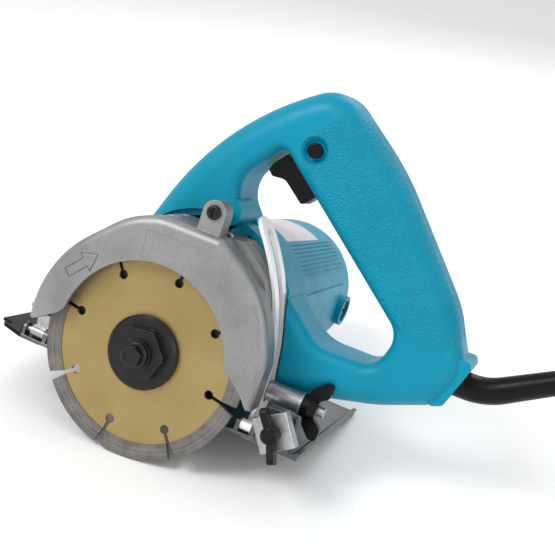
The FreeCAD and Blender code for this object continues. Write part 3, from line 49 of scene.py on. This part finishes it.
REST_PITCH = math.radians(5.2232)
REST_LEAN = math.radians(-12.6936)
REST_TURN = Matrix.Rotation(REST_PITCH, 3, "Y") @ Matrix.Rotation(REST_LEAN, 3, "X")
REST_SHIFT = Vector((-0.03137, -0.08634, 0.0539296))


def saw(x, y, z):
    """A point given in the saw's axes, in millimetres, as a point of the scene."""
    return REST_TURN @ (Vector((x, y, z)) / 1000.0) + REST_SHIFT


def saw_dir(x, y, z):
    """A direction given in the saw's axes, as a unit direction of the scene."""
    return (REST_TURN @ Vector((x, y, z))).normalized()


# ------------------------------------------------------------ camera

CAMERA_LENS = 64.68              # mm, on a sensor 36 mm wide
CAMERA_AT = (0.17433, -0.48704, 0.27549)
CAMERA_RIGHT = saw_dir(0.89215, 0.32520, 0.31355)
CAMERA_BACK = saw_dir(0.27965, -0.94269, 0.18201)


def make_camera():
    data = bpy.data.cameras.new("camera")
    data.sensor_width = 36.0
    data.lens = CAMERA_LENS
    data.clip_start = 0.01
    cam = bpy.data.objects.new("camera", data)
    scene.collection.objects.link(cam)
    up = CAMERA_BACK.cross(CAMERA_RIGHT).normalized()
    turn = Matrix((CAMERA_RIGHT, up, CAMERA_BACK)).transposed().to_4x4()
    cam.matrix_world = Matrix.Translation(CAMERA_AT) @ turn
    scene.camera = cam


make_camera()


# ------------------------------------------------------------ material tools

class Nodes:
    """Short ways to add and join the shader nodes of one material."""

    def __init__(self, name):
        self.mat = bpy.data.materials.new(name)
        self.mat.use_nodes = True
        self.tree = self.mat.node_tree
        self.bsdf = self.tree.nodes["Principled BSDF"]
        self.where = self.node("ShaderNodeTexCoord").outputs["Object"]

    def node(self, kind, **props):
        n = self.tree.nodes.new(kind)
        for key, value in props.items():
            setattr(n, key, value)
        return n

    def put(self, socket, value):
        """Join a socket to another one, or set it to a value."""
        if isinstance(value, bpy.types.NodeSocket):
            self.tree.links.new(value, socket)
        elif value is not None:
            socket.default_value = value

    def shader(self, **values):
        """Set inputs of the surface shader, with _ for a space in their names."""
        for key, value in values.items():
            self.put(self.bsdf.inputs[key.replace("_", " ")], value)

    def math(self, operation, a, b=None):
        n = self.node("ShaderNodeMath", operation=operation)
        self.put(n.inputs[0], a)
        self.put(n.inputs[1], b)
        return n.outputs[0]

    def vector(self, operation, a, b=None):
        n = self.node("ShaderNodeVectorMath", operation=operation)
        self.put(n.inputs[0], a)
        self.put(n.inputs[1], b)
        key = "Value" if operation in ("DOT_PRODUCT", "LENGTH") else "Vector"
        return n.outputs[key]

    def along(self, origin, direction):
        """Distance in metres from origin along a direction."""
        arm = self.vector("SUBTRACT", self.where, tuple(origin))
        return self.vector("DOT_PRODUCT", arm, tuple(direction))

    def from_axis(self, origin, direction):
        """Distance in metres from a line through origin."""
        arm = self.vector("SUBTRACT", self.where, tuple(origin))
        return self.vector("LENGTH", self.vector("CROSS_PRODUCT", arm, tuple(direction)))

    def stretch(self, factors):
        return self.vector("MULTIPLY", self.where, factors)

    def noise(self, scale, detail=4.0, rough=0.55, at=None):
        n = self.node("ShaderNodeTexNoise")
        self.put(n.inputs["Vector"], self.where if at is None else at)
        n.inputs["Scale"].default_value = scale
        n.inputs["Detail"].default_value = detail
        n.inputs["Roughness"].default_value = rough
        return n.outputs[0]

    def rings(self, value, scale, detail=3.0):
        """Noise that changes with one number only, such as a radius."""
        n = self.node("ShaderNodeTexNoise", noise_dimensions="1D")
        self.put(n.inputs["W"], value)
        n.inputs["Scale"].default_value = scale
        n.inputs["Detail"].default_value = detail
        return n.outputs[0]

    def cells(self, scale):
        n = self.node("ShaderNodeTexVoronoi", feature="SMOOTH_F1")
        self.put(n.inputs["Vector"], self.where)
        n.inputs["Scale"].default_value = scale
        return n.outputs["Distance"]

    def span(self, value, low, high, to_low=0.0, to_high=1.0, kind="LINEAR"):
        n = self.node("ShaderNodeMapRange", interpolation_type=kind, clamp=True)
        self.put(n.inputs["Value"], value)
        n.inputs["From Min"].default_value = low
        n.inputs["From Max"].default_value = high
        n.inputs["To Min"].default_value = to_low
        n.inputs["To Max"].default_value = to_high
        return n.outputs["Result"]

    def mix(self, factor, a, b):
        n = self.node("ShaderNodeMix", data_type="RGBA")
        self.put(n.inputs[0], factor)
        self.put(n.inputs[6], a)
        self.put(n.inputs[7], b)
        return n.outputs[2]

    def soft_normal(self, radius):
        n = self.node("ShaderNodeBevel", samples=4)
        n.inputs["Radius"].default_value = radius
        return n.outputs[0]

    def edge(self, soft, low=0.70, high=0.985):
        """1 at a sharp edge, 0 on a smooth face."""
        flat = self.node("ShaderNodeNewGeometry").outputs["Normal"]
        return self.span(self.vector("DOT_PRODUCT", soft, flat), low, high, 1.0, 0.0)

    def bump(self, height, strength, distance, normal=None):
        n = self.node("ShaderNodeBump")
        n.inputs["Strength"].default_value = strength
        n.inputs["Distance"].default_value = distance
        self.put(n.inputs["Height"], height)
        self.put(n.inputs["Normal"], normal)
        return n.outputs[0]


def shade(color, k):
    """The colour made k times as bright, with its alpha."""
    return tuple(min(1.0, c * k) for c in color[:3]) + (1.0,)


def plain(name, color, rough, metal=0.0, mottle=(60.0, 0.10), grain=(1200.0, 0.25, 0.0001),
          spread=0.08, worn=None, bevel=0.0003, gloss=0.5):
    """A surface with mottled colour, uneven roughness, fine grain and worn edges.

    mottle is (scale, amount), grain is (scale, strength, height in metres) and worn is
    (colour, amount).
    """
    m = Nodes(name)
    mottle_scale, mottle_amount = mottle
    grain_scale, grain_strength, grain_height = grain
    patches = m.noise(mottle_scale, 5.0)
    darker = shade(color, 1.0 - mottle_amount)
    lighter = shade(color, 1.0 + mottle_amount)
    tone = m.mix(m.span(patches, 0.3, 0.7), darker, lighter)
    soft = m.soft_normal(bevel)
    if worn is not None:
        worn_color, worn_amount = worn
        scuff = m.math("MULTIPLY", m.edge(soft), m.span(m.noise(350.0, 6.0), 0.42, 0.62))
        tone = m.mix(m.math("MULTIPLY", scuff, worn_amount), tone, worn_color)
    fine = m.noise(grain_scale, 6.0, 0.65)
    uneven = m.noise(mottle_scale * 3.1, 5.0)
    m.shader(Base_Color=tone, Metallic=metal, Specular_IOR_Level=gloss,
             Roughness=m.span(uneven, 0.3, 0.7, rough - spread, rough + spread),
             Normal=m.bump(fine, grain_strength, grain_height, soft))
    return m


# ------------------------------------------------------------ materials

GRIP_ALONG = saw_dir(0.785, 0, -0.62)    # down the handle's rear limb
GRIP_ACROSS = saw_dir(0.62, 0, 0.785)
GRIP_FROM = saw(31.6, 40.0, 112.8)
GRIP_MIDDLE = (0.058, 0.024)             # of the grained panel, along and across, in metres
GRIP_HALF = (0.062, 0.022)               # its half length and half width
BLADE_AXIS = saw_dir(0, 1, 0)
BLADE_AT = saw(0, 0, 0)
TEAL = (0.0, 0.238, 0.358)


def grip_mask(m):
    """1 inside the grained panel of the handle's rear limb, which is a rounded rectangle."""
    fourth = []
    for direction, middle, half in zip((GRIP_ALONG, GRIP_ACROSS), GRIP_MIDDLE, GRIP_HALF):
        share = m.math("DIVIDE", m.math("SUBTRACT", m.along(GRIP_FROM, direction), middle), half)
        fourth.append(m.math("POWER", m.math("ABSOLUTE", share), 4.0))
    return m.span(m.math("ADD", *fourth), 0.75, 1.15, 1.0, 0.0, "SMOOTHSTEP")


def teal_shell(name, grained):
    """Satin moulded plastic, with a pebbled grip panel where it is grained."""
    m = Nodes(name)
    patches = m.noise(28.0, 4.0)
    tone = m.mix(m.span(patches, 0.3, 0.7), shade(TEAL, 0.94), shade(TEAL, 1.06))
    soft = m.soft_normal(0.0005)
    rub = m.math("MULTIPLY", m.edge(soft), m.span(m.noise(260.0, 6.0), 0.40, 0.65))
    tone = m.mix(m.math("MULTIPLY", rub, 0.35), tone, (0.04, 0.40, 0.56, 1.0))
    satin = m.noise(2600.0, 3.0, 0.6)
    normal = m.bump(satin, 0.10, 0.00006, soft)
    rough = m.span(m.noise(90.0, 5.0), 0.3, 0.7, 0.34, 0.44)
    if grained:
        mask = grip_mask(m)
        pebbles = m.math("MULTIPLY", m.cells(1150.0), mask)
        normal = m.bump(pebbles, 0.90, 0.0008, normal)
        rough = m.math("ADD", rough, m.math("MULTIPLY", mask, 0.07))
    m.shader(Base_Color=tone, IOR=1.48, Roughness=rough, Normal=normal, Specular_IOR_Level=0.20)
    return m


def cast_silver():
    """Cast aluminium, gritty and bright at its edges, with painted shade, near black, on its inner faces
    round the blade.
    """
    m = Nodes("cast_silver")
    patches = m.noise(45.0, 6.0, 0.6)
    grit = m.noise(1900.0, 3.0, 0.6)
    tone = m.mix(m.span(patches, 0.3, 0.7), (0.27, 0.27, 0.27, 1.0), (0.37, 0.37, 0.37, 1.0))
    tone = m.mix(m.span(grit, 0.35, 0.68, 0.0, 0.45), tone, (0.13, 0.13, 0.13, 1.0))
    soft = m.soft_normal(0.0006)
    tone = m.mix(m.math("MULTIPLY", m.edge(soft), 0.55), tone, (0.62, 0.62, 0.62, 1.0))
    # painted shade: the case's inner faces within 60 mm of the blade's axis, between Y = -5 mm and Y = 7
    # mm, are painted near black where shade falls and the blade's holes show them
    depth = m.along(BLADE_AT, BLADE_AXIS)
    within = m.span(m.from_axis(BLADE_AT, BLADE_AXIS), 0.0585, 0.0600, 1.0, 0.0)
    between = m.math("MULTIPLY", m.span(depth, -0.0052, -0.0048),
                     m.span(depth, 0.0065, 0.0075, 1.0, 0.0))
    inside = m.math("MULTIPLY", within, between)
    tone = m.mix(m.math("MULTIPLY", inside, 0.93), tone, (0.02, 0.02, 0.02, 1.0))
    height = m.math("ADD", grit, m.math("MULTIPLY", m.noise(420.0, 4.0), 0.8))
    m.shader(Base_Color=tone, Metallic=0.72, Roughness=m.span(patches, 0.3, 0.7, 0.40, 0.52),
             Normal=m.bump(height, 0.30, 0.00016, soft))
    return m


def gold_steel():
    """Lacquered blade core, turned finish round its centre."""
    m = Nodes("gold_steel")
    r = m.from_axis(BLADE_AT, BLADE_AXIS)
    turning = m.rings(r, 2600.0)
    patches = m.noise(30.0, 5.0)
    tone = m.mix(m.span(patches, 0.3, 0.7), (0.335, 0.245, 0.092, 1.0), (0.40, 0.30, 0.125, 1.0))
    tone = m.mix(m.span(turning, 0.35, 0.7, 0.0, 0.22), tone, (0.27, 0.20, 0.08, 1.0))
    tone = m.mix(m.span(m.noise(900.0, 5.0), 0.60, 0.75, 0.0, 0.4), tone, (0.25, 0.19, 0.09, 1.0))
    soft = m.soft_normal(0.0002)
    m.shader(Base_Color=tone, Metallic=0.62, Roughness=m.span(turning, 0.3, 0.7, 0.34, 0.50),
             Normal=m.bump(turning, 0.12, 0.00005, soft), Anisotropic=0.35)
    return m


def sintered():
    """Diamond segments: matt grey bond full of grit, with grinding marks round the rim."""
    m = Nodes("sintered")
    r = m.from_axis(BLADE_AT, BLADE_AXIS)
    marks = m.rings(r, 1400.0)
    grit = m.noise(1500.0, 6.0, 0.7)
    patches = m.noise(160.0, 5.0)
    tone = m.mix(m.span(patches, 0.3, 0.7), (0.11, 0.105, 0.097, 1.0), (0.23, 0.22, 0.205, 1.0))
    tone = m.mix(m.span(grit, 0.4, 0.7, 0.0, 0.6), tone, (0.09, 0.085, 0.08, 1.0))
    tone = m.mix(m.span(marks, 0.45, 0.7, 0.0, 0.3), tone, (0.38, 0.36, 0.34, 1.0))
    soft = m.soft_normal(0.0002)
    height = m.math("ADD", grit, m.math("MULTIPLY", marks, 0.4))
    m.shader(Base_Color=tone, Metallic=0.55, Roughness=m.span(patches, 0.3, 0.7, 0.46, 0.62),
             Normal=m.bump(height, 0.55, 0.00022, soft))
    return m


def dark_steel():
    """Rolled steel sole, rubbed bright at its edges and scratched lengthways, with a painted dark
    reflection over its front end.
    """
    m = Nodes("dark_steel")
    soft = m.soft_normal(0.0004)
    patches = m.noise(38.0, 6.0)
    drag = m.noise(60.0, 6.0, 0.6, m.stretch((1.0, 26.0, 26.0)))
    tone = m.mix(m.span(patches, 0.3, 0.7), (0.085, 0.085, 0.088, 1.0), (0.16, 0.16, 0.165, 1.0))
    tone = m.mix(m.span(drag, 0.55, 0.75, 0.0, 0.5), tone, (0.30, 0.30, 0.30, 1.0))
    tone = m.mix(m.math("MULTIPLY", m.edge(soft), 0.8), tone, (0.60, 0.60, 0.60, 1.0))
    # painted reflection: the sole's front end, ahead of X = -72 mm, is painted near black for the dark
    # reflection in its upturned lip
    nose_dark_reflection = m.span(m.along(saw(-72.0, 0, 0), saw_dir(-1, 0, 0)), -0.001, 0.0)
    tone = m.mix(m.math("MULTIPLY", nose_dark_reflection, 0.97), tone, (0.010, 0.010, 0.011, 1.0))
    m.shader(Base_Color=tone, Metallic=0.92, Roughness=m.span(drag, 0.3, 0.7, 0.26, 0.44),
             Normal=m.bump(drag, 0.18, 0.0001, soft))
    return m


def zinc_steel():
    """Zinc plate, dulled in streaks."""
    m = Nodes("zinc_steel")
    soft = m.soft_normal(0.0004)
    patches = m.noise(90.0, 6.0)
    streaks = m.noise(170.0, 6.0, 0.7, m.stretch((6.0, 6.0, 1.0)))
    tone = m.mix(m.span(patches, 0.3, 0.7), (0.36, 0.36, 0.37, 1.0), (0.52, 0.52, 0.53, 1.0))
    tone = m.mix(m.span(streaks, 0.45, 0.72, 0.0, 0.55), tone, (0.20, 0.20, 0.205, 1.0))
    tone = m.mix(m.math("MULTIPLY", m.edge(soft), 0.6), tone, (0.80, 0.80, 0.81, 1.0))
    m.shader(Base_Color=tone, Metallic=0.90, Roughness=m.span(streaks, 0.3, 0.7, 0.30, 0.46),
             Normal=m.bump(streaks, 0.22, 0.0001, soft))
    return m


def blank_label():
    """Blank rating plate: a pale film with two faint tinted bands."""
    m = Nodes("label")
    y = m.along(saw(0, 100.0, 60.0), saw_dir(0, 1, 0))
    band = m.math("MULTIPLY", m.span(y, -0.010, -0.009), m.span(y, 0.006, 0.007, 1.0, 0.0))
    tone = m.mix(m.span(m.noise(120.0, 4.0), 0.3, 0.7), (0.50, 0.49, 0.53, 1.0), (0.58, 0.57, 0.60, 1.0))
    tone = m.mix(m.math("MULTIPLY", band, 0.5), tone, (0.52, 0.34, 0.40, 1.0))
    m.shader(Base_Color=tone, Roughness=m.span(m.noise(300.0, 4.0), 0.3, 0.7, 0.30, 0.40),
             Normal=m.bump(m.noise(1500.0, 3.0), 0.08, 0.00005))
    return m


def black_oxide():
    return plain("black_oxide", (0.008, 0.008, 0.009), rough=0.36, mottle=(120.0, 0.25),
                 grain=(1400.0, 0.35, 0.0001), spread=0.10, worn=((0.35, 0.35, 0.36, 1.0), 0.35),
                 gloss=0.32)


def bright_zinc():
    return plain("bright_zinc", (0.90, 0.905, 0.91), rough=0.34, metal=0.30, mottle=(80.0, 0.03),
                 grain=(1000.0, 0.10, 0.00006), spread=0.05, bevel=0.0004)


def gear_steel():
    return plain("gear_steel", (0.50, 0.50, 0.51), rough=0.28, metal=0.95, mottle=(90.0, 0.12),
                 grain=(1300.0, 0.2, 0.0001), worn=((0.75, 0.75, 0.76, 1.0), 0.6), bevel=0.0002)


def iron_core():
    return plain("iron_core", (0.20, 0.20, 0.21), rough=0.46, metal=0.85, mottle=(110.0, 0.15),
                 grain=(1100.0, 0.3, 0.0001))


def copper():
    return plain("copper", (0.62, 0.24, 0.09), rough=0.32, metal=0.9, mottle=(140.0, 0.15),
                 grain=(900.0, 0.4, 0.0002))


def black_plastic():
    return plain("black_plastic", (0.004, 0.004, 0.0045), rough=0.30, mottle=(70.0, 0.15),
                 grain=(2200.0, 0.12, 0.00006), spread=0.07, worn=((0.03, 0.03, 0.035, 1.0), 0.5),
                 bevel=0.0005, gloss=0.20)


def grey_plastic():
    return plain("grey_plastic", (0.16, 0.16, 0.17), rough=0.42, mottle=(60.0, 0.1),
                 grain=(1800.0, 0.15, 0.00008))


def carbon():
    return plain("carbon", (0.03, 0.03, 0.03), rough=0.6, mottle=(200.0, 0.2),
                 grain=(1500.0, 0.5, 0.0002))


def black_rubber():
    return plain("black_rubber", (0.004, 0.004, 0.0045), rough=0.32, mottle=(55.0, 0.18),
                 grain=(1600.0, 0.22, 0.0001), spread=0.10, bevel=0.0005, gloss=0.16)


def nickel():
    return plain("nickel", (0.72, 0.71, 0.68), rough=0.16, metal=1.0, mottle=(150.0, 0.06),
                 grain=(1200.0, 0.1, 0.00005))


def make_materials():
    made = {
        "cast_silver": cast_silver(),
        "teal_grip": teal_shell("teal_grip", True),
        "teal_shell": teal_shell("teal_shell", False),
        "gold_steel": gold_steel(),
        "sintered": sintered(),
        "black_oxide": black_oxide(),
        "zinc_steel": zinc_steel(),
        "bright_zinc": bright_zinc(),
        "dark_steel": dark_steel(),
        "gear_steel": gear_steel(),
        "iron_core": iron_core(),
        "copper": copper(),
        "black_plastic": black_plastic(),
        "grey_plastic": grey_plastic(),
        "carbon": carbon(),
        "black_rubber": black_rubber(),
        "nickel": nickel(),
        "label": blank_label(),
    }
    return {name: tool.mat for name, tool in made.items()}


MATERIALS = make_materials()

# nodes that don't take the material of their slot
OWN = {"handle_near": "teal_grip", "handle_far": "teal_grip", "depth_guide": "bright_zinc",
       "crown_screw": "black_oxide", "handle_screws": "black_oxide"}


def dress(obj, name):
    obj.data.materials.clear()
    obj.data.materials.append(MATERIALS[name])


for part in frame["record"]["subparts"]:
    dress(frame["nodes"][part["node"]], OWN.get(part["node"], part["material_slot"]))


# ------------------------------------------------------------ mains cord
# Millimetres. The route is part of the model; the coil's turns follow it.

CORD_D = 7.4
COIL = (308.0, 37.0)             # the coil's centre on the floor
ROUTE = [(169.9, -34.1, 85.4), (191.5, -31.4, 95.6), (225.0, -32.0, 91.5), (250.5, -35.0, 66.0),
         (263.5, -38.0, 33.0), (286.0, -40.0, 9.5), (317.0, -36.0, 3.8), (345.0, -19.0, 3.8),
         (357.5, 8.0, 3.8)]
TAIL = [(354.1, 30.8, 19.6), (354.0, 50.8, 22.0), (343.0, 67.5, 25.8), (324.6, 75.4, 29.2),
        (304.9, 71.9, 30.3)]
STEPS = 16                                          # points in each turn of the coil
TURN_END = 7.0 + 327.0 / 360.0                      # turns wound before the end lifts off
ROWS = [49.4 - CORD_D * row for row in range(3)]    # radii, the outer row first
LAYERS = [3.8 + CORD_D * layer for layer in range(3)]

# (turn, row, layer) where the winding leaves one place and where it reaches the next
WINDING = [(0.00, 0, 0), (0.86, 0, 0), (0.98, 1, 0), (1.86, 1, 0), (1.98, 2, 0), (2.74, 2, 0),
           (2.87, 2, 1), (3.72, 2, 1), (3.84, 1, 1), (4.72, 1, 1), (4.84, 0, 1), (5.58, 0, 1),
           (5.70, 0, 2), (6.44, 0, 2), (6.57, 1, 2), (8.00, 1, 2)]


def wound(turn):
    """Radius and height of the winding after so many turns."""
    for (t0, row0, layer0), (t1, row1, layer1) in zip(WINDING, WINDING[1:]):
        if turn <= t1:
            k = (turn - t0) / (t1 - t0)
            radius = ROWS[row0] + (ROWS[row1] - ROWS[row0]) * k
            height = LAYERS[layer0] + (LAYERS[layer1] - LAYERS[layer0]) * k
            return radius, height


def coil_points():
    """Control points of the coil, set outside the circle that the curve is to follow."""
    open_out = math.sqrt(0.5 * (1.0 + 1.0 / math.cos(math.pi / STEPS) ** 2))
    points = []
    for i in range(int(TURN_END * STEPS) + 1):
        radius, height = wound(i / STEPS)
        radius *= open_out
        angle = 2.0 * math.pi * i / STEPS
        points.append((COIL[0] + radius * math.cos(angle), COIL[1] + radius * math.sin(angle), height))
    return points


def curve_piece(name, points, radius):
    """A round cord of a radius in metres, guided by control points in millimetres."""
    data = bpy.data.curves.new(name, "CURVE")
    data.dimensions = "3D"
    data.bevel_depth = radius
    data.bevel_resolution = 5
    data.resolution_u = 6
    data.use_fill_caps = True
    spline = data.splines.new("NURBS")
    spline.points.add(len(points) - 1)
    for p, q in zip(spline.points, points):
        p.co = (q[0] / 1000.0, q[1] / 1000.0, q[2] / 1000.0, 1.0)
    spline.order_u = 3
    spline.use_endpoint_u = True
    obj = bpy.data.objects.new(name, data)
    scene.collection.objects.link(obj)
    return obj


cord = curve_piece("mains_cord", ROUTE + coil_points() + TAIL, CORD_D / 2000.0)
dress(cord, "black_rubber")
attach(cord, "saw")
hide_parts("cord", "cord_coil")


# ------------------------------------------------------------ floor and light

FLOOR_SIZE = 14.0
WORLD_STRENGTH = 0.76
LIT_POINT = Vector((0.02, 0.0, 0.06))


def make_floor():
    bpy.ops.mesh.primitive_grid_add(x_subdivisions=4, y_subdivisions=4, size=FLOOR_SIZE)
    floor = bpy.context.object
    floor.name = "floor"
    m = Nodes("floor")
    tone = m.mix(m.span(m.noise(3.0, 3.0), 0.3, 0.7), (0.93, 0.93, 0.93, 1.0), (0.95, 0.95, 0.95, 1.0))
    m.shader(Base_Color=tone, Roughness=0.85)
    floor.data.materials.append(m.mat)


def area_light(name, at, size, power):
    """A round lamp, aimed at the middle of the saw."""
    data = bpy.data.lights.new(name, "AREA")
    data.shape = "DISK"
    data.size = size
    data.energy = power
    lamp = bpy.data.objects.new(name, data)
    scene.collection.objects.link(lamp)
    lamp.location = at
    lamp.rotation_euler = (LIT_POINT - Vector(at)).to_track_quat("-Z", "Y").to_euler()


def make_world():
    world = bpy.data.worlds.new("world")
    world.use_nodes = True
    background = world.node_tree.nodes["Background"]
    background.inputs["Color"].default_value = (1.0, 1.0, 1.0, 1.0)
    background.inputs["Strength"].default_value = WORLD_STRENGTH
    scene.world = world


make_floor()
make_world()
area_light("key", (-0.9, -1.1, 1.5), 0.9, 21.0)
area_light("fill", (1.5, -0.9, 0.9), 1.2, 6.0)
area_light("rim", (0.2, 1.3, 1.3), 1.0, 9.0)
scene.view_settings.view_transform = "Standard"
